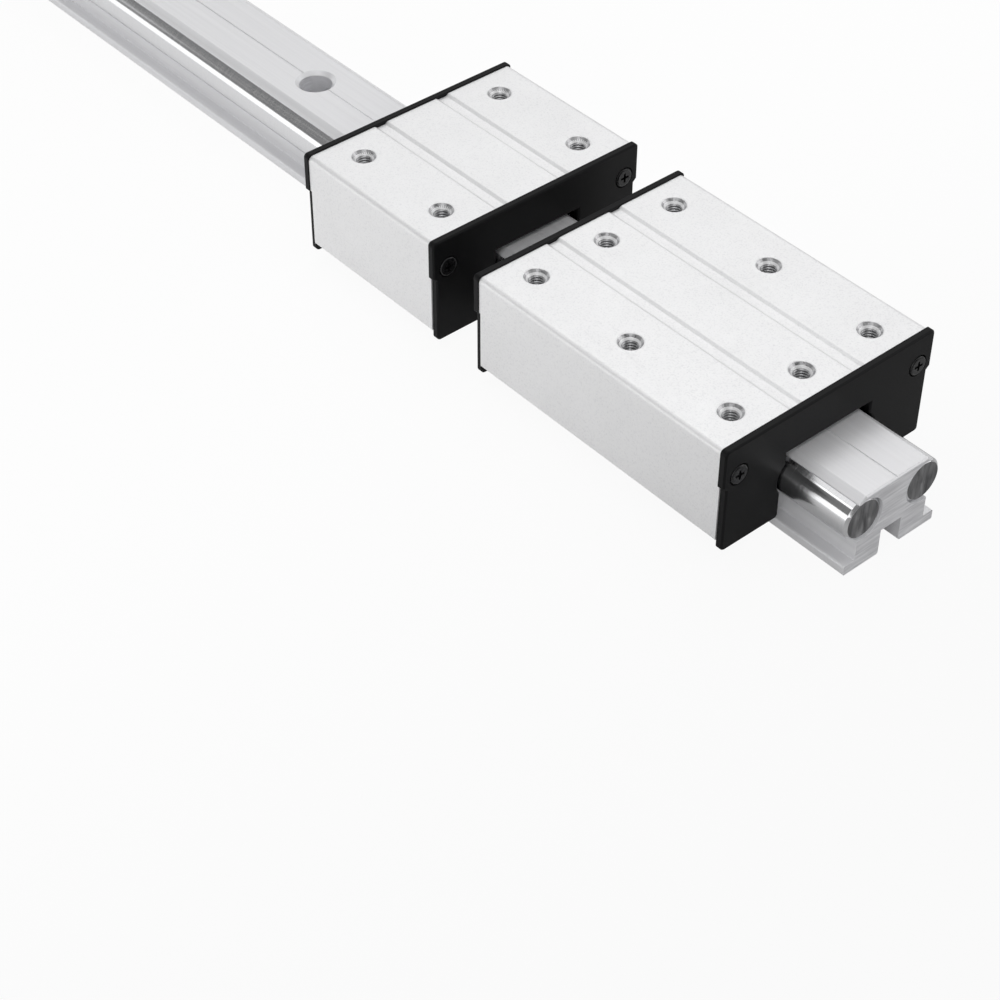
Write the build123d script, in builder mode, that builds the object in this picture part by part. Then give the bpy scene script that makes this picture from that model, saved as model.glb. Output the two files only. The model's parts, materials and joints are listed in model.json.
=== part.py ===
from build123d import *
from math import isclose
import os

# Roller linear guide: an aluminium rail with two hardened round shafts along its sides, and two
# carriages, one long and one short, that run on it on grooved rollers. Millimetres.
# X runs along the rail, Y across it, Z up. The origin is the middle of the rail's underside.

# Shafts
shaft_diameter = 12.0
shaft_spacing = 20.4
shaft_height = 14.8
shaft_seat_clearance = 0.03
shaft_end_chamfer = 0.7
shaft_end_recess = 0.5

# Rail extrusion, drawn round the shafts
rail_length = 450.0
rail_base_width = 31.0
rail_foot_thickness = 2.9
rail_foot_rounding = 0.6
rail_web_beyond_shaft_axis = 1.8
rail_lip_beyond_shaft_axis = 2.4
rail_land_beyond_shaft_axis = 0.3
rail_wall_over_shaft = 1.4
rail_bevel_drop = 1.55
rail_channel_width = 7.0
rail_channel_height = 7.5
rail_channel_rounding = 0.8
rail_end_chamfer = 0.4
mark_groove_width = 0.5
mark_groove_depth = 0.3

# Rail fixing holes
rail_hole_pitch = 150.0
rail_hole_first = 72.0
rail_hole_count = 3
rail_bolt_clearance_diameter = 5.5
rail_counterbore_diameter = 9.5
rail_counterbore_depth = 8.5
rail_counterbore_chamfer = 1.1

# Grooved rollers, which run on the shafts
roller_outer_diameter = 19.3
roller_root_diameter = 14.4
roller_width = 11.2
roller_edge_rounding = 0.4
roller_running_clearance = 0.1
roller_end_distance = 15.0
long_roller_gap = 35.7
short_roller_gap = 0.7

# Inner rings, spacers and countersunk axle bolts, which hold the rollers
bearing_split_diameter = 11.0
bearing_split_clearance = 0.1
inner_ring_width = 11.6
shield_recess = 0.5
spacer_diameter = 9.0
spacer_height = 2.6
axle_diameter = 6.0
axle_fit_clearance = 0.03
axle_head_diameter = 12.4
axle_head_land = 0.2
axle_socket_size = 4.0
axle_socket_depth = 2.0
axle_thread_diameter = 5.0
axle_thread_length = 7.0
axle_thread_hole_extra = 1.0

# Carriage bodies
strip_thickness = 3.0
carriage_side_wall = 1.5
pocket_side_clearance = 0.35
pocket_rounding = 0.8
mouth_beyond_shaft_axis = 5.0
mouth_edge_rounding = 1.5
ceiling_above_rail = 4.2
ceiling_flat_width = 14.0
rib_below_rail_top = 0.3
rib_side_clearance = 1.3
rib_thickness = 3.7
rib_edge_rounding = 0.4
top_thickness = 7.8
top_edge_rounding = 1.5
side_step_depth = 0.4
bottom_edge_rounding = 0.6
long_body_from_rail_end = 66.4
body_gap = 19.4

# Two shallow grooves along the top face
top_groove_spacing = 21.2
top_groove_floor_width = 2.6
top_groove_mouth_width = 4.4
top_groove_depth = 0.6

# Tapped holes in the top faces
tapped_core_diameter = 4.2
tapped_rim_diameter = 6.9
tapped_row_spacing = 47.0
long_hole_from_end = 8.5
short_hole_from_end = 9.0
countersink_angle = 90

# End plates
plate_thickness = 2.0
plate_above_body = 0.4
plate_beyond_body = 0.3
plate_inset_below_step = 0.8
plate_notch_height = 1.0
plate_notch_below_step = 0.6
plate_foot_clearance = 0.5
plate_corner_rounding = 1.2
plate_edge_chamfer = 0.4
plate_clearance_above_rail = 0.9
plate_clearance_beside_lip = 1.7
plate_clearance_beside_mouth = 0.1
plate_shaft_clearance = 0.3

# End plate screws, with cross recesses
plate_screw_from_side = 4.6
plate_screw_above_pocket = 2.6
plate_screw_head_diameter = 5.4
plate_screw_head_height = 1.3
plate_screw_head_rounding = 0.5
plate_screw_seat_diameter = 6.0
plate_screw_seat_depth = 1.0
plate_screw_shank_diameter = 2.4
plate_screw_shank_length = 8.0
plate_screw_clearance = 0.05
plate_screw_cross_length = 2.8
plate_screw_cross_width = 0.7
plate_screw_cross_depth = 0.9

# Heights and widths that follow from the dimensions above
shaft_radius = shaft_diameter / 2
shaft_y = shaft_spacing / 2
rail_height = shaft_height + shaft_radius + rail_wall_over_shaft
rail_bevel_foot = rail_height - rail_bevel_drop
rail_web_y = shaft_y + rail_web_beyond_shaft_axis
rail_lip_y = shaft_y + rail_lip_beyond_shaft_axis
rail_land_y = shaft_y + rail_land_beyond_shaft_axis
rail_foot_y = rail_base_width / 2
groove_radius = shaft_radius + roller_running_clearance
roller_radius = roller_outer_diameter / 2
roller_y = shaft_y + groove_radius + roller_root_diameter / 2
ring_bottom = shaft_height - inner_ring_width / 2
ring_top = shaft_height + inner_ring_width / 2
axle_head_depth = axle_head_land + (axle_head_diameter - axle_diameter) / 2
carriage_underside = ring_bottom - strip_thickness
pocket_ceiling = ring_top + spacer_height
pocket_y = roller_y + roller_radius + pocket_side_clearance
carriage_y = pocket_y + carriage_side_wall
mouth_y = shaft_y + mouth_beyond_shaft_axis
ceiling_height = rail_height + ceiling_above_rail
carriage_top = ceiling_height + top_thickness
rib_height = rail_height - rib_below_rail_top
rib_inner_y = rail_land_y + rib_side_clearance
rib_outer_y = rib_inner_y + rib_thickness
side_step_height = pocket_ceiling
plate_screw_y = carriage_y - plate_screw_from_side
plate_screw_height = pocket_ceiling + plate_screw_above_pocket

# Places along the rail
long_body_length = 2 * roller_end_distance + roller_outer_diameter + long_roller_gap
short_body_length = 2 * roller_end_distance + roller_outer_diameter + short_roller_gap
rail_near_end = rail_length / 2
long_body_x = rail_near_end - long_body_from_rail_end
short_body_x = long_body_x - long_body_length / 2 - body_gap - short_body_length / 2
rail_hole_xs = [rail_near_end - rail_hole_first - rail_hole_pitch * i for i in range(rail_hole_count)]

os.makedirs("parts", exist_ok=True)


def save(builder, name):
    """Label a finished piece and write it under its name."""
    builder.part.label = name
    export_step(builder.part, f"parts/{name}.step")


def corners_at(distance):
    """Pick the corners of the sketch being drawn that lie this far to either side of the middle."""
    return vertices().filter_by(lambda corner: isclose(abs(corner.X), distance, abs_tol=0.001))


# Rail extrusion: its section is drawn looking along the rail, then drawn out to the rail's length
with BuildPart() as rail:
    with BuildSketch(Plane.YZ):
        with BuildLine():
            Polyline(
                (0, rail_channel_height),
                (rail_channel_width / 2, rail_channel_height),
                (rail_channel_width / 2, 0),
                (rail_foot_y, 0),
                (rail_foot_y, rail_foot_thickness),
                (rail_web_y, rail_foot_thickness),
                (rail_web_y, shaft_height),
                (rail_lip_y, shaft_height),
                (rail_lip_y, rail_bevel_foot),
                (rail_land_y, rail_height),
                (0, rail_height),
                (0, rail_channel_height),
            )
        make_face()
        mirror(about=Plane.YZ)
        fillet(corners_at(rail_foot_y), rail_foot_rounding)
        fillet(corners_at(rail_channel_width / 2).group_by(Axis.Y)[0], rail_channel_rounding)
        with Locations((-shaft_y, shaft_height), (shaft_y, shaft_height)):
            Circle(shaft_radius + shaft_seat_clearance, mode=Mode.SUBTRACT)
    extrude(amount=rail_length / 2, both=True)
    end_edges = rail.edges().filter_by(lambda edge: isclose(abs(edge.center().X), rail_near_end, abs_tol=0.001))
    chamfer(end_edges.filter_by(lambda edge: edge.center().Z > rail_bevel_foot), rail_end_chamfer)
    with Locations(*[(x, 0, rail_height) for x in rail_hole_xs]):
        CounterBoreHole(
            rail_bolt_clearance_diameter / 2, rail_counterbore_diameter / 2, rail_counterbore_depth, rail_height
        )
    chamfer(rail.edges().filter_by(GeomType.CIRCLE).group_by(Axis.Z)[-1], rail_counterbore_chamfer)
    with BuildSketch(Plane.YZ):
        with BuildLine():
            Polyline(
                (-mark_groove_width / 2, rail_height),
                (0, rail_height - mark_groove_depth),
                (mark_groove_width / 2, rail_height),
                close=True,
            )
        make_face()
    extrude(amount=rail_length / 2, both=True, mode=Mode.SUBTRACT)
save(rail, "rail_extrusion")

# Two round shafts, held in the hollows along the rail's sides, a little shorter than the rail
for side, name in ((-1, "shaft_left"), (1, "shaft_right")):
    with BuildPart() as shaft:
        with BuildSketch(Plane.YZ):
            with Locations((side * shaft_y, shaft_height)):
                Circle(shaft_radius)
        extrude(amount=rail_length / 2 - shaft_end_recess, both=True)
        chamfer(shaft.edges().filter_by(GeomType.CIRCLE), shaft_end_chamfer)
    save(shaft, name)


def make_body(name, centre_x, length, hole_places, roller_places):
    """Build a carriage body: one extruded section with its tapped holes and bolt holes."""
    with BuildPart() as body:
        with BuildSketch(Plane.YZ.offset(centre_x)):
            groove_y = top_groove_spacing / 2
            with BuildLine():
                Line((0, ceiling_height), (ceiling_flat_width / 2, ceiling_height))
                RadiusArc(
                    (ceiling_flat_width / 2, ceiling_height),
                    (rib_inner_y, rib_height),
                    2 * (ceiling_height - rib_height),
                )
                Polyline(
                    (rib_inner_y, rib_height),
                    (rib_outer_y, rib_height),
                    (rib_outer_y, pocket_ceiling),
                    (pocket_y, pocket_ceiling),
                    (pocket_y, ring_bottom),
                    (mouth_y, ring_bottom),
                    (mouth_y, carriage_underside),
                    (carriage_y - side_step_depth, carriage_underside),
                    (carriage_y - side_step_depth, side_step_height),
                    (carriage_y, side_step_height + side_step_depth),
                    (carriage_y, carriage_top),
                    (groove_y + top_groove_mouth_width / 2, carriage_top),
                    (groove_y + top_groove_floor_width / 2, carriage_top - top_groove_depth),
                    (groove_y - top_groove_floor_width / 2, carriage_top - top_groove_depth),
                    (groove_y - top_groove_mouth_width / 2, carriage_top),
                    (0, carriage_top),
                    (0, ceiling_height),
                )
            make_face()
            fillet(corners_at(pocket_y), pocket_rounding)
            fillet(corners_at(rib_inner_y), rib_edge_rounding)
            fillet(corners_at(rib_outer_y).group_by(Axis.Y)[0], rib_edge_rounding)
            fillet(corners_at(mouth_y).group_by(Axis.Y)[0], mouth_edge_rounding)
            fillet(corners_at(carriage_y).group_by(Axis.Y)[-1], top_edge_rounding)
            fillet(corners_at(carriage_y - side_step_depth).group_by(Axis.Y)[0], bottom_edge_rounding)
            mirror(about=Plane.YZ)
        extrude(amount=length / 2, both=True)
        with Locations(*[(x, y, carriage_top) for x, y in hole_places]):
            CounterSinkHole(
                tapped_core_diameter / 2, tapped_rim_diameter / 2, carriage_top - rib_height, countersink_angle
            )
        looking_up = (180, 0, 0)
        with Locations(*[Location((x, y, carriage_underside), looking_up) for x, y in roller_places]):
            CounterSinkHole(
                axle_diameter / 2 + axle_fit_clearance,
                axle_diameter / 2 + axle_fit_clearance + axle_head_depth,
                axle_head_depth,
                countersink_angle,
            )
        with Locations(*[Location((x, y, pocket_ceiling), looking_up) for x, y in roller_places]):
            Hole(axle_thread_diameter / 2 + axle_fit_clearance, axle_thread_length + axle_thread_hole_extra)
        for direction in (1, -1):
            with BuildSketch(Plane.YZ.offset(centre_x + direction * length / 2)):
                with Locations((-plate_screw_y, plate_screw_height), (plate_screw_y, plate_screw_height)):
                    Circle(plate_screw_shank_diameter / 2 + plate_screw_clearance)
            extrude(amount=-direction * plate_screw_shank_length, mode=Mode.SUBTRACT)
    save(body, name)


def make_end_plate(name, x, direction):
    """Build the end plate that stands on the body's end at x, cut out round the rail and its shafts."""
    outer_x = x + direction * plate_thickness
    upper_y = carriage_y + plate_beyond_body
    lower_y = carriage_y - plate_inset_below_step
    notch_bottom = side_step_height - plate_notch_below_step
    opening_top = rail_height + plate_clearance_above_rail
    opening_upper_y = rail_lip_y + plate_clearance_beside_lip
    opening_lower_y = mouth_y + plate_clearance_beside_mouth
    plate_bottom = rail_foot_thickness + plate_foot_clearance
    plate_top = carriage_top + plate_above_body
    with BuildPart() as plate:
        with BuildSketch(Plane.YZ.offset(x)):
            with BuildLine():
                Polyline(
                    (0, opening_top),
                    (opening_upper_y, opening_top),
                    (opening_upper_y, shaft_height),
                    (opening_lower_y, shaft_height),
                    (opening_lower_y, plate_bottom),
                    (lower_y, plate_bottom),
                    (lower_y, notch_bottom),
                    (upper_y, notch_bottom + plate_notch_height),
                    (upper_y, plate_top),
                    (0, plate_top),
                    (0, opening_top),
                )
            make_face()
            mirror(about=Plane.YZ)
            fillet(vertices().group_by(Axis.Y)[0], plate_corner_rounding)
            fillet(corners_at(upper_y).group_by(Axis.Y)[-1], plate_corner_rounding)
            with Locations((-shaft_y, shaft_height), (shaft_y, shaft_height)):
                Circle(shaft_radius + plate_shaft_clearance, mode=Mode.SUBTRACT)
        extrude(amount=direction * plate_thickness)
        outer_face = plate.faces().sort_by(Axis.X)[-1 if direction > 0 else 0]
        chamfer(outer_face.outer_wire().edges(), plate_edge_chamfer)
        screw_planes = [Plane((outer_x, y, plate_screw_height), z_dir=(direction, 0, 0)) for y in (-plate_screw_y, plate_screw_y)]
        with Locations(*screw_planes):
            CounterBoreHole(
                plate_screw_shank_diameter / 2 + plate_screw_clearance,
                plate_screw_seat_diameter / 2,
                plate_screw_seat_depth,
                plate_thickness,
            )
    save(plate, name)


def make_plate_screw(name, x, y, direction):
    """Build a screw with a low round head, a cross recess and a plain shank, seated in an end plate at x."""
    seat_x = x + direction * (plate_thickness - plate_screw_seat_depth)
    head_x = seat_x + direction * plate_screw_head_height
    with BuildPart() as screw:
        with BuildSketch(Plane.YZ.offset(seat_x)):
            with Locations((y, plate_screw_height)):
                Circle(plate_screw_head_diameter / 2)
        extrude(amount=direction * plate_screw_head_height)
        crown = screw.faces().sort_by(Axis.X)[-1 if direction > 0 else 0]
        fillet(crown.edges(), plate_screw_head_rounding)
        with BuildSketch(Plane.YZ.offset(head_x)):
            with Locations((y, plate_screw_height)):
                Rectangle(plate_screw_cross_length, plate_screw_cross_width)
                Rectangle(plate_screw_cross_width, plate_screw_cross_length)
        extrude(amount=-direction * plate_screw_cross_depth, mode=Mode.SUBTRACT)
        with BuildSketch(Plane.YZ.offset(seat_x)):
            with Locations((y, plate_screw_height)):
                Circle(plate_screw_shank_diameter / 2)
        extrude(amount=-direction * (plate_screw_shank_length - plate_screw_seat_depth))
    save(screw, name)


def make_roller(name, x, y):
    """Build a roller's outer ring: a turned ring with a round groove that fits the shaft."""
    with BuildPart() as ring:
        with BuildSketch(Plane((x, y, shaft_height), x_dir=(1, 0, 0), z_dir=(0, -1, 0))):
            with Locations(((roller_radius + bearing_split_diameter / 2) / 2, 0)):
                Rectangle(roller_radius - bearing_split_diameter / 2, roller_width)
            fillet(corners_at(roller_radius), roller_edge_rounding)
            with Locations((roller_y - shaft_y, 0)):
                Circle(groove_radius, mode=Mode.SUBTRACT)
        revolve(axis=Axis((x, y, 0), (0, 0, 1)))
    save(ring, name)


def make_inner_ring(name, x, y):
    """Build a roller's inner ring: it stands still, and its two ends are stepped like a shielded bearing."""
    step_height = (inner_ring_width - roller_width) / 2 + shield_recess
    with BuildPart() as hub:
        with BuildSketch(Plane.XY.offset(ring_bottom)):
            with Locations((x, y)):
                Circle(spacer_diameter / 2)
        extrude(amount=inner_ring_width)
        with BuildSketch(Plane.XY.offset(ring_bottom + step_height)):
            with Locations((x, y)):
                Circle(bearing_split_diameter / 2 - bearing_split_clearance)
        extrude(amount=inner_ring_width - 2 * step_height)
        bore_radius = axle_diameter / 2 + axle_fit_clearance
        with Locations(Location((x, y, ring_bottom), (180, 0, 0))):
            CounterSinkHole(
                bore_radius, bore_radius + axle_head_depth - strip_thickness, inner_ring_width, countersink_angle
            )
    save(hub, name)


def make_spacer(name, x, y):
    """Build the ring that keeps a roller clear of the pocket's ceiling."""
    with BuildPart() as spacer:
        with BuildSketch(Plane.XY.offset(ring_top)):
            with Locations((x, y)):
                Circle(spacer_diameter / 2)
                Circle(axle_diameter / 2 + axle_fit_clearance, mode=Mode.SUBTRACT)
        extrude(amount=spacer_height)
    save(spacer, name)


def make_axle_bolt(name, x, y):
    """Build a countersunk bolt, head down, that goes up through the roller into the carriage."""
    with BuildPart() as bolt:
        with BuildSketch(Plane((x, y, carriage_underside), x_dir=(1, 0, 0), z_dir=(0, -1, 0))):
            with BuildLine():
                Polyline(
                    (0, 0),
                    (axle_head_diameter / 2, 0),
                    (axle_head_diameter / 2, axle_head_land),
                    (axle_diameter / 2, axle_head_depth),
                    (axle_diameter / 2, pocket_ceiling - carriage_underside),
                    (axle_thread_diameter / 2, pocket_ceiling - carriage_underside),
                    (axle_thread_diameter / 2, pocket_ceiling - carriage_underside + axle_thread_length),
                    (0, pocket_ceiling - carriage_underside + axle_thread_length),
                    close=True,
                )
            make_face()
        revolve(axis=Axis((x, y, 0), (0, 0, 1)))
        with BuildSketch(Plane.XY.offset(carriage_underside)):
            with Locations((x, y)):
                RegularPolygon(axle_socket_size / 2, 6, major_radius=False)
        extrude(amount=axle_socket_depth, mode=Mode.SUBTRACT)
    save(bolt, name)


def make_carriage(name, centre_x, length, hole_places):
    """Build every piece of one carriage."""
    roller_offset = length / 2 - roller_end_distance
    ends = (("front", 1), ("back", -1))
    sides = (("left", -1), ("right", 1))
    roller_places = {
        f"{name}_{end_name}_{side_name}": (centre_x + end * roller_offset, side * roller_y)
        for end_name, end in ends
        for side_name, side in sides
    }
    make_body(f"{name}_body", centre_x, length, hole_places, roller_places.values())
    for end_name, end in ends:
        end_x = centre_x + end * length / 2
        make_end_plate(f"{name}_{end_name}_plate", end_x, end)
        for side_name, side in sides:
            make_plate_screw(f"{name}_{end_name}_{side_name}_plate_screw", end_x, side * plate_screw_y, end)
    for place, (x, y) in roller_places.items():
        make_roller(f"{place}_roller", x, y)
        make_inner_ring(f"{place}_inner_ring", x, y)
        make_spacer(f"{place}_spacer", x, y)
        make_axle_bolt(f"{place}_axle_bolt", x, y)


# Eight tapped holes on the long carriage, in columns of three, two and three, and four on the short one
row_y = tapped_row_spacing / 2
long_hole_x = long_body_length / 2 - long_hole_from_end
short_hole_x = short_body_length / 2 - short_hole_from_end
long_holes = [(long_body_x + dx, dy) for dx in (-long_hole_x, 0, long_hole_x) for dy in (-row_y, row_y)]
long_holes += [(long_body_x + dx, 0) for dx in (-long_hole_x, long_hole_x)]
short_holes = [(short_body_x + dx, dy) for dx in (-short_hole_x, short_hole_x) for dy in (-row_y, row_y)]

make_carriage("long", long_body_x, long_body_length, long_holes)
make_carriage("short", short_body_x, short_body_length, short_holes)
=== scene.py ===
import json
from math import cos, pi, radians, sin

import bmesh
import bpy
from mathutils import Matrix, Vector


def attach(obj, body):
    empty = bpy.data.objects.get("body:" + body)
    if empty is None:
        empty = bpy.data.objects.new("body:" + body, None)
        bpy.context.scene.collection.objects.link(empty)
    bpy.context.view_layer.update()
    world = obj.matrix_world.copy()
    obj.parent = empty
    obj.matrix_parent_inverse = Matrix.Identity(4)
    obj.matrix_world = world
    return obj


# Looks of a roller linear guide: a rail with two round shafts and two carriages. Metres, in the frame
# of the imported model: X along the rail, Y across it, Z up.

MM = 0.001

# Camera, at the photograph's viewing angle. Turn in degrees, lens and sensor in millimetres.
CAMERA_PLACE = (0.47411, -0.33644, 0.38647)
CAMERA_TURN = (47.679, -0.145, 49.371)
CAMERA_LENS = 85.12
CAMERA_SENSOR = 36.0
CAMERA_NEAREST = 10 * MM

# Studio: an even dim room and a floor that is white at the back and greyer towards the near end. That
# greying is painted shade: it stands in for the shadow of the carriages on the floor there, which shows
# in the metal's reflections. The glows are the share of pure white that the camera sees in it, and that
# metal sees at the back; the metal's share fades to none at the near end, as painted shade too.
ROOM_LIGHT = 0.22
FLOOR_SHADE = 0.92
# Painted shade of the floor at its near end, and the span along X over which the floor fades into it
FLOOR_NEAR_PAINTED_SHADE = 0.45
FLOOR_PAINTED_SHADE_FADE = (0.06, 0.30)
FLOOR_GLOW = 0.93
METAL_GLOW = 0.35
FLOOR_SIZE = 6.0
FLOOR_GAP = 0.2 * MM

# Softboxes round the object, all facing the carriages: place, size, and brightness as a white card's
SOFTBOX_TARGET = (0.1, 0.0, 0.0)
SOFTBOXES = {
    "top": ((0.1, 0.0, 0.90), (1.2, 1.2), 0.8),
    "strip": ((0.1, -0.42, 0.70), (1.3, 0.12), 0.8),
    "back": ((-1.1, 0.0, 0.35), (1.3, 0.5), 0.9),
    "left": ((-0.2, -1.1, 0.20), (2.2, 0.40), 1.2),
    "front_left": ((0.8, -0.8, 0.40), (0.9, 0.7), 1.1),
    "front_right": ((0.8, 0.8, 0.40), (0.9, 0.7), 1.2),
    "right": ((0.1, 1.0, 0.40), (0.9, 0.7), 0.7),
    "high_back_right": ((-0.4, 0.5, 0.75), (0.7, 0.7), 1.0),
}

# Edge rounding of the cut and machined pieces, by how a node's name starts or ends
EDGE_ROUNDING = {
    "rail_extrusion": 0.10 * MM,
    "body": 0.12 * MM,
    "plate": 0.10 * MM,
    "shaft": 0.08 * MM,
}
EDGE_STEPS = 2
SHARP_EDGE = radians(32)
WELD_DISTANCE = 0.002 * MM

# Threads of the tapped holes: a ridge whose foot reaches a little into the wall, tapering to its crest.
# Its first turn lies THREAD_START below the foot of the countersink.
THREAD_PITCH = 0.8 * MM
THREAD_HEIGHT = 0.24 * MM
THREAD_FOOT_DEPTH = 0.03 * MM
THREAD_HALF_FOOT = 0.34 * MM
THREAD_HALF_CREST = 0.07 * MM
THREAD_STEPS = 28
THREAD_START = 0.05 * MM
THREAD_DEPTH = {"middle": 6.0 * MM, "row": 9.2 * MM}

# Lining of cut metal in the tapped holes, which runs out and up their countersinks
LINING = 0.02 * MM
CONE_OUT = 1.18 * MM
CONE_UP = 1.24 * MM


def add_camera():
    """Put the camera where the photograph was taken from."""
    lens = bpy.data.cameras.new("camera")
    lens.lens = CAMERA_LENS
    lens.sensor_width = CAMERA_SENSOR
    lens.clip_start = CAMERA_NEAREST
    camera = bpy.data.objects.new("camera", lens)
    camera.location = CAMERA_PLACE
    camera.rotation_euler = [radians(angle) for angle in CAMERA_TURN]
    bpy.context.scene.collection.objects.link(camera)
    bpy.context.scene.camera = camera


def add_softbox(name, place, size, level):
    """Add a soft rectangular lamp, as bright as a white card at this level."""
    lamp = bpy.data.lights.new(name, "AREA")
    lamp.shape = "RECTANGLE"
    lamp.size, lamp.size_y = size
    lamp.energy = level * pi * size[0] * size[1]
    aim = Vector(SOFTBOX_TARGET) - Vector(place)
    softbox = bpy.data.objects.new(name, lamp)
    softbox.location = place
    softbox.rotation_euler = aim.to_track_quat("-Z", "Y").to_euler()
    bpy.context.scene.collection.objects.link(softbox)


def add_room():
    """Light the object a little from all round, with a white backdrop behind it."""
    world = bpy.data.worlds.new("room")
    world.use_nodes = True
    nodes = world.node_tree.nodes
    links = world.node_tree.links
    rays = nodes.new("ShaderNodeLightPath")
    seen = nodes.new("ShaderNodeMix")
    seen.data_type = "RGBA"
    seen.inputs["A"].default_value = (ROOM_LIGHT, ROOM_LIGHT, ROOM_LIGHT, 1)
    seen.inputs["B"].default_value = (1, 1, 1, 1)
    links.new(rays.outputs["Is Camera Ray"], seen.inputs["Factor"])
    links.new(seen.outputs["Result"], nodes["Background"].inputs["Color"])
    bpy.context.scene.world = world


def set_range(node, source, target):
    """Set what a map range node maps, and to what."""
    node.inputs["From Min"].default_value, node.inputs["From Max"].default_value = source
    node.inputs["To Min"].default_value, node.inputs["To Max"].default_value = target


def painted_shade_along(nodes, links, back, near):
    """A value that changes along the rail, from the back of the floor to its near end: painted shade on
    the floor towards its near end.
    """
    place = nodes.new("ShaderNodeTexCoord")
    split = nodes.new("ShaderNodeSeparateXYZ")
    fade = nodes.new("ShaderNodeMapRange")
    fade.interpolation_type = "SMOOTHSTEP"
    set_range(fade, FLOOR_PAINTED_SHADE_FADE, (back, near))
    links.new(place.outputs["Object"], split.inputs[0])
    links.new(split.outputs["X"], fade.inputs["Value"])
    return fade.outputs["Result"]


def floor_material():
    """A diffuse card, mixed with pure white by what kind of ray looks at it. Its colour, and the white
    that metal sees in it, grow darker towards the near end as painted shade.
    """
    material = bpy.data.materials.new("floor")
    material.use_nodes = True
    nodes = material.node_tree.nodes
    links = material.node_tree.links
    nodes.clear()
    card = nodes.new("ShaderNodeBsdfDiffuse")
    # Painted shade: the card's colour darkens from the back towards the near end.
    links.new(painted_shade_along(nodes, links, FLOOR_SHADE, FLOOR_NEAR_PAINTED_SHADE), card.inputs["Color"])
    glow = nodes.new("ShaderNodeEmission")
    glow.inputs["Color"].default_value = (1, 1, 1, 1)
    rays = nodes.new("ShaderNodeLightPath")
    # Painted shade: the white that metal sees in the floor fades to none towards the near end.
    mirrored_glow_painted_shade = painted_shade_along(nodes, links, METAL_GLOW, 0)

    seen = nodes.new("ShaderNodeMath")
    seen.operation = "MULTIPLY"
    seen.inputs[1].default_value = FLOOR_GLOW
    links.new(rays.outputs["Is Camera Ray"], seen.inputs[0])
    share = seen.outputs[0]
    for ray in ("Is Glossy Ray", "Is Transmission Ray"):
        step = nodes.new("ShaderNodeMath")
        step.operation = "MULTIPLY_ADD"
        links.new(rays.outputs[ray], step.inputs[0])
        links.new(mirrored_glow_painted_shade, step.inputs[1])
        links.new(share, step.inputs[2])
        share = step.outputs[0]

    mix = nodes.new("ShaderNodeMixShader")
    links.new(share, mix.inputs["Fac"])
    links.new(card.outputs[0], mix.inputs[1])
    links.new(glow.outputs[0], mix.inputs[2])
    output = nodes.new("ShaderNodeOutputMaterial")
    links.new(mix.outputs[0], output.inputs["Surface"])
    return material


def add_floor():
    """Add a floor, shown almost pure white, that keeps a faint shadow of the object and has painted
    shade towards its near end.
    """
    half = FLOOR_SIZE / 2
    places = [(-half, -half, 0), (half, -half, 0), (half, half, 0), (-half, half, 0)]
    mesh = bpy.data.meshes.new("floor")
    mesh.from_pydata(places, [], [(0, 1, 2, 3)])
    mesh.materials.append(floor_material())
    floor = bpy.data.objects.new("floor", mesh)
    floor.location.z = -FLOOR_GAP
    bpy.context.scene.collection.objects.link(floor)


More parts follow.
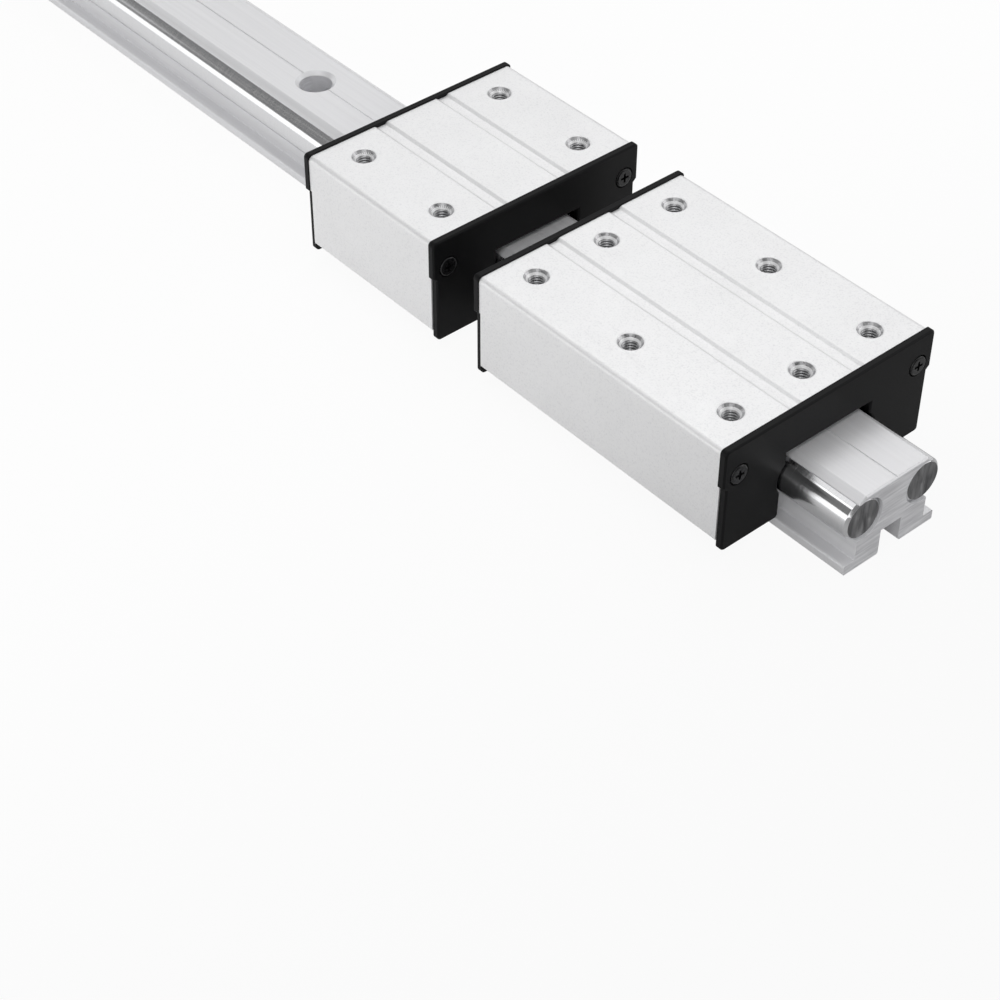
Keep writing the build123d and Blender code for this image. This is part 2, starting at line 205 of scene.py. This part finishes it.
class Finish:
    """A material being built round one Principled shader."""

    def __init__(self, name, metallic, specular=0.5):
        self.material = bpy.data.materials.new(name)
        self.material.use_nodes = True
        self.nodes = self.material.node_tree.nodes
        self.links = self.material.node_tree.links
        self.shader = self.nodes["Principled BSDF"]
        self.shader.inputs["Metallic"].default_value = metallic
        self.shader.inputs["Specular IOR Level"].default_value = specular
        self.place = self.nodes.new("ShaderNodeTexCoord")

    def noise(self, scale, stretch=(1, 1, 1), detail=3.0, turn=(0, 0, 0)):
        """Noise with features of a size of 1 / scale metres, stretched by a factor along each axis."""
        mapping = self.nodes.new("ShaderNodeMapping")
        mapping.inputs["Scale"].default_value = [1 / factor for factor in stretch]
        mapping.inputs["Rotation"].default_value = [radians(angle) for angle in turn]
        self.links.new(self.place.outputs["Object"], mapping.inputs["Vector"])
        noise = self.nodes.new("ShaderNodeTexNoise")
        noise.inputs["Scale"].default_value = scale
        noise.inputs["Detail"].default_value = detail
        self.links.new(mapping.outputs[0], noise.inputs["Vector"])
        return noise.outputs["Fac"]

    def spread(self, value, low, high, source=(0.3, 0.7)):
        """Map a noise value to a range."""
        node = self.nodes.new("ShaderNodeMapRange")
        set_range(node, source, (low, high))
        self.links.new(value, node.inputs["Value"])
        return node.outputs["Result"]

    def colour(self, value, dark, light):
        """Blend between two colours by a noise value."""
        mix = self.nodes.new("ShaderNodeMix")
        mix.data_type = "RGBA"
        mix.inputs["A"].default_value = (*dark, 1)
        mix.inputs["B"].default_value = (*light, 1)
        self.links.new(self.spread(value, 0.0, 1.0), mix.inputs["Factor"])
        return mix.outputs["Result"]

    def choose(self, mask, outside, inside, kind="FLOAT"):
        """Blend between two sockets by a mask."""
        mix = self.nodes.new("ShaderNodeMix")
        mix.data_type = kind
        self.links.new(mask, mix.inputs["Factor"])
        self.links.new(outside, mix.inputs["A"])
        self.links.new(inside, mix.inputs["B"])
        return mix.outputs["Result"]

    def facing(self, axis, low, high):
        """A mask of the faces that look along an axis, either way, from a low to a high cosine."""
        split = self.nodes.new("ShaderNodeSeparateXYZ")
        self.links.new(self.place.outputs["Normal"], split.inputs[0])
        size = self.nodes.new("ShaderNodeMath")
        size.operation = "ABSOLUTE"
        self.links.new(split.outputs[axis], size.inputs[0])
        return self.spread(size.outputs[0], 0.0, 1.0, source=(low, high))

    def bump(self, value, height, strength):
        """Add relief of this height, in metres."""
        node = self.nodes.new("ShaderNodeBump")
        node.inputs["Strength"].default_value = strength
        node.inputs["Distance"].default_value = height
        self.links.new(value, node.inputs["Height"])
        self.links.new(node.outputs["Normal"], self.shader.inputs["Normal"])

    def drive(self, socket, value):
        """Feed one of the shader's sockets."""
        self.links.new(value, self.shader.inputs[socket])


def carriage_aluminium():
    """Sandblasted and clear anodised aluminium: pale, even, with a fine grain."""
    finish = Finish("carriage_aluminium", metallic=0.65)
    grain = finish.noise(scale=2300)
    cloud = finish.noise(scale=60, detail=4.0)
    pale = finish.colour(cloud, dark=(0.89, 0.89, 0.895), light=(0.92, 0.92, 0.925))
    speck = finish.colour(cloud, dark=(0.81, 0.81, 0.82), light=(0.84, 0.84, 0.85))
    specks = finish.spread(grain, 0.0, 1.0, source=(0.52, 0.72))
    finish.drive("Base Color", finish.choose(specks, pale, speck, kind="RGBA"))
    finish.drive("Roughness", finish.spread(grain, 0.40, 0.60))
    finish.bump(grain, height=0.030 * MM, strength=0.5)
    return finish.material


def cut_aluminium():
    """Bare aluminium where a tap has cut it: glossier and darker than the blasted faces."""
    finish = Finish("cut_aluminium", metallic=1.0)
    turned = finish.noise(scale=2600, stretch=(3, 3, 1), detail=2.0)
    shade = finish.colour(turned, dark=(0.42, 0.42, 0.43), light=(0.60, 0.60, 0.61))
    finish.drive("Base Color", shade)
    finish.drive("Roughness", finish.spread(turned, 0.24, 0.38))
    return finish.material


def rail_aluminium():
    """Clear anodised extrusion: fine drawn lines along the rail, saw marks across its cut ends."""
    finish = Finish("rail_aluminium", metallic=0.4)
    drawn = finish.noise(scale=900, stretch=(60, 1, 1))
    sawn = finish.noise(scale=1500, stretch=(1, 12, 1), detail=2.0)
    end = finish.facing("X", 0.90, 0.97)
    along = finish.colour(drawn, dark=(0.79, 0.79, 0.805), light=(0.85, 0.85, 0.865))
    across = finish.colour(sawn, dark=(0.66, 0.66, 0.68), light=(0.92, 0.92, 0.94))
    drawn_roughness = finish.spread(drawn, 0.34, 0.48)
    sawn_roughness = finish.spread(sawn, 0.42, 0.60)
    finish.drive("Base Color", finish.choose(end, along, across, kind="RGBA"))
    finish.drive("Roughness", finish.choose(end, drawn_roughness, sawn_roughness))
    finish.bump(finish.choose(end, drawn, sawn), height=0.006 * MM, strength=0.5)
    return finish.material


def hardened_steel():
    """Ground shafts: grinding marks run round them and spread reflections along them. Dull sawn ends."""
    finish = Finish("hardened_steel", metallic=1.0)
    ground = finish.noise(scale=2400, stretch=(1, 40, 40), detail=2.0)
    sawn = finish.noise(scale=1100, stretch=(1, 1.6, 9), turn=(28, 0, 0))
    end = finish.facing("X", 0.96, 0.995)
    round_face = finish.colour(ground, dark=(0.74, 0.745, 0.76), light=(0.80, 0.80, 0.81))
    cut_face = finish.colour(sawn, dark=(0.12, 0.12, 0.125), light=(0.38, 0.38, 0.385))
    ground_roughness = finish.spread(ground, 0.12, 0.16)
    sawn_roughness = finish.spread(sawn, 0.35, 0.60)
    finish.drive("Base Color", finish.choose(end, round_face, cut_face, kind="RGBA"))
    finish.drive("Roughness", finish.choose(end, ground_roughness, sawn_roughness))
    around = finish.nodes.new("ShaderNodeTangent")
    around.direction_type = "RADIAL"
    around.axis = "X"
    finish.drive("Tangent", around.outputs[0])
    finish.shader.inputs["Anisotropic"].default_value = 0.9
    finish.shader.inputs["Anisotropic Rotation"].default_value = 0.25
    return finish.material


def bearing_steel():
    """Turned and ground rings."""
    finish = Finish("bearing_steel", metallic=1.0)
    turned = finish.noise(scale=1500, stretch=(6, 6, 1), detail=2.0)
    shade = finish.colour(turned, dark=(0.58, 0.58, 0.60), light=(0.70, 0.70, 0.71))
    finish.drive("Base Color", shade)
    finish.drive("Roughness", finish.spread(turned, 0.14, 0.28))
    return finish.material


def black_end_plate():
    """Matte black end plate with a fine grain."""
    finish = Finish("black_end_plate", metallic=0.0, specular=0.125)
    grain = finish.noise(scale=2600)
    shade = finish.colour(grain, dark=(0.003, 0.003, 0.0035), light=(0.007, 0.007, 0.0075))
    finish.drive("Base Color", shade)
    finish.drive("Roughness", finish.spread(grain, 0.36, 0.50))
    finish.bump(grain, height=0.012 * MM, strength=0.4)
    return finish.material


def black_screw():
    """Black oxide steel, slightly glossy."""
    finish = Finish("black_screw", metallic=0.3)
    grain = finish.noise(scale=3000, detail=2.0)
    shade = finish.colour(grain, dark=(0.004, 0.004, 0.0045), light=(0.012, 0.012, 0.013))
    finish.drive("Base Color", shade)
    finish.drive("Roughness", finish.spread(grain, 0.18, 0.30))
    finish.bump(grain, height=0.006 * MM, strength=0.4)
    return finish.material


def dress_nodes(materials):
    """Give each CAD node the material of its slot."""
    for part in frame["record"]["subparts"]:
        mesh = frame["nodes"][part["node"]].data
        mesh.materials.clear()
        mesh.materials.append(materials[part["material_slot"]])


def round_edges(piece, width):
    """Break a piece's sharp edges, so that they catch the light."""
    weld = piece.modifiers.new("weld", "WELD")
    weld.merge_threshold = WELD_DISTANCE
    bevel = piece.modifiers.new("edges", "BEVEL")
    bevel.width = width
    bevel.segments = EDGE_STEPS
    bevel.limit_method = "ANGLE"
    bevel.angle_limit = SHARP_EDGE
    bevel.use_clamp_overlap = False
    smooth = piece.modifiers.new("normals", "WEIGHTED_NORMAL")
    smooth.keep_sharp = True


def round_all_edges():
    """Break the edges of the rail, the shafts, the bodies and the end plates."""
    for name, piece in frame["nodes"].items():
        for word, width in EDGE_ROUNDING.items():
            if name.endswith(word) or name.startswith(word):
                round_edges(piece, width)


def hole_places(mount):
    """The centres of a bolt pattern's holes, from its mount."""
    centre = Vector(mount["pos_m"])
    half_x = mount["dims"].get("spacing_x_mm", 0) * MM / 2
    half_y = mount["dims"].get("spacing_y_mm", 0) * MM / 2
    steps = {(side_x * half_x, side_y * half_y) for side_x in (-1, 1) for side_y in (-1, 1)}
    return [centre + Vector((step_x, step_y, 0)) for step_x, step_y in sorted(steps)]


def join_rings(mesh, rings):
    """Join closed sections, one after the other, into a skin."""
    for ring, following in zip(rings, rings[1:]):
        for corner in range(len(ring)):
            beside = (corner + 1) % len(ring)
            mesh.faces.new((ring[corner], ring[beside], following[beside], following[corner]))


def add_ring(mesh, centre, angle, section, drop=0.0):
    """Place a section, given as distances out from a hole's axis and heights, at an angle round it."""
    ring = []
    for out, height in section:
        place = (centre.x + out * cos(angle), centre.y + out * sin(angle), height - drop)
        ring.append(mesh.verts.new(place))
    return ring


def add_thread(mesh, centre, radius, depth):
    """Add one hole's thread: a ridge that winds down the hole's wall."""
    turns = int(depth / THREAD_PITCH)
    top = centre.z - THREAD_START
    foot = radius + THREAD_FOOT_DEPTH
    crest = radius - THREAD_HEIGHT
    section = (
        (foot, top + THREAD_HALF_FOOT),
        (crest, top + THREAD_HALF_CREST),
        (crest, top - THREAD_HALF_CREST),
        (foot, top - THREAD_HALF_FOOT),
    )
    rings = []
    for step in range(turns * THREAD_STEPS + 1):
        angle = 2 * pi * step / THREAD_STEPS
        drop = THREAD_PITCH * step / THREAD_STEPS
        rings.append(add_ring(mesh, centre, angle, section, drop))
    join_rings(mesh, rings)
    mesh.faces.new(list(reversed(rings[0])))
    mesh.faces.new(rings[-1])


def add_lining(mesh, centre, radius, depth):
    """Line a hole's wall and its countersink with the cut metal."""
    top = centre.z
    rim = radius + CONE_OUT
    section = (
        (radius + LINING, top - depth),
        (radius - LINING, top - depth),
        (radius - LINING, top),
        (rim - LINING, top + CONE_UP),
        (rim + LINING, top + CONE_UP),
        (radius + LINING, top),
    )
    rings = []
    for step in range(THREAD_STEPS):
        angle = 2 * pi * step / THREAD_STEPS
        rings.append(add_ring(mesh, centre, angle, section))
    join_rings(mesh, rings + rings[:1])


def add_threads(carriage, material):
    """Cut the look of threads into a carriage's tapped holes."""
    mesh = bmesh.new()
    for mount in frame["record"]["mounts"]:
        if mount["kind"] == "bolt_pattern" and mount["name"].startswith(carriage):
            radius = mount["dims"]["hole_r_mm"] * MM
            depth = THREAD_DEPTH["middle" if "middle" in mount["name"] else "row"]
            for place in hole_places(mount):
                add_thread(mesh, place, radius, depth)
                add_lining(mesh, place, radius, depth)
    bmesh.ops.recalc_face_normals(mesh, faces=mesh.faces)
    data = bpy.data.meshes.new(f"{carriage}_threads")
    mesh.to_mesh(data)
    mesh.free()
    data.materials.append(material)
    piece = bpy.data.objects.new(f"{carriage}_threads", data)
    bpy.context.scene.collection.objects.link(piece)
    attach(piece, f"{carriage}_carriage")


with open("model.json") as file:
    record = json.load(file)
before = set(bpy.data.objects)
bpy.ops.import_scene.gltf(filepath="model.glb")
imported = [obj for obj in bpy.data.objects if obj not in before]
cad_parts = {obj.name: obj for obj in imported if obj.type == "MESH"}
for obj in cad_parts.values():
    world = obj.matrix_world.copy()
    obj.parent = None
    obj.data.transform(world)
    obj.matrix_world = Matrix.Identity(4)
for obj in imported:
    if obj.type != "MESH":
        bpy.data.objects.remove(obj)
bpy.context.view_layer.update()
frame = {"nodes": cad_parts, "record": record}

bpy.context.scene.view_settings.view_transform = "Standard"
add_camera()
add_room()
add_floor()
for name, (place, size, level) in SOFTBOXES.items():
    add_softbox(f"{name}_softbox", place, size, level)

materials = {
    "rail_aluminium": rail_aluminium(),
    "carriage_aluminium": carriage_aluminium(),
    "hardened_steel": hardened_steel(),
    "bearing_steel": bearing_steel(),
    "black_end_plate": black_end_plate(),
    "black_screw": black_screw(),
}
dress_nodes(materials)
round_all_edges()
cut_metal = cut_aluminium()
add_threads("long", cut_metal)
add_threads("short", cut_metal)
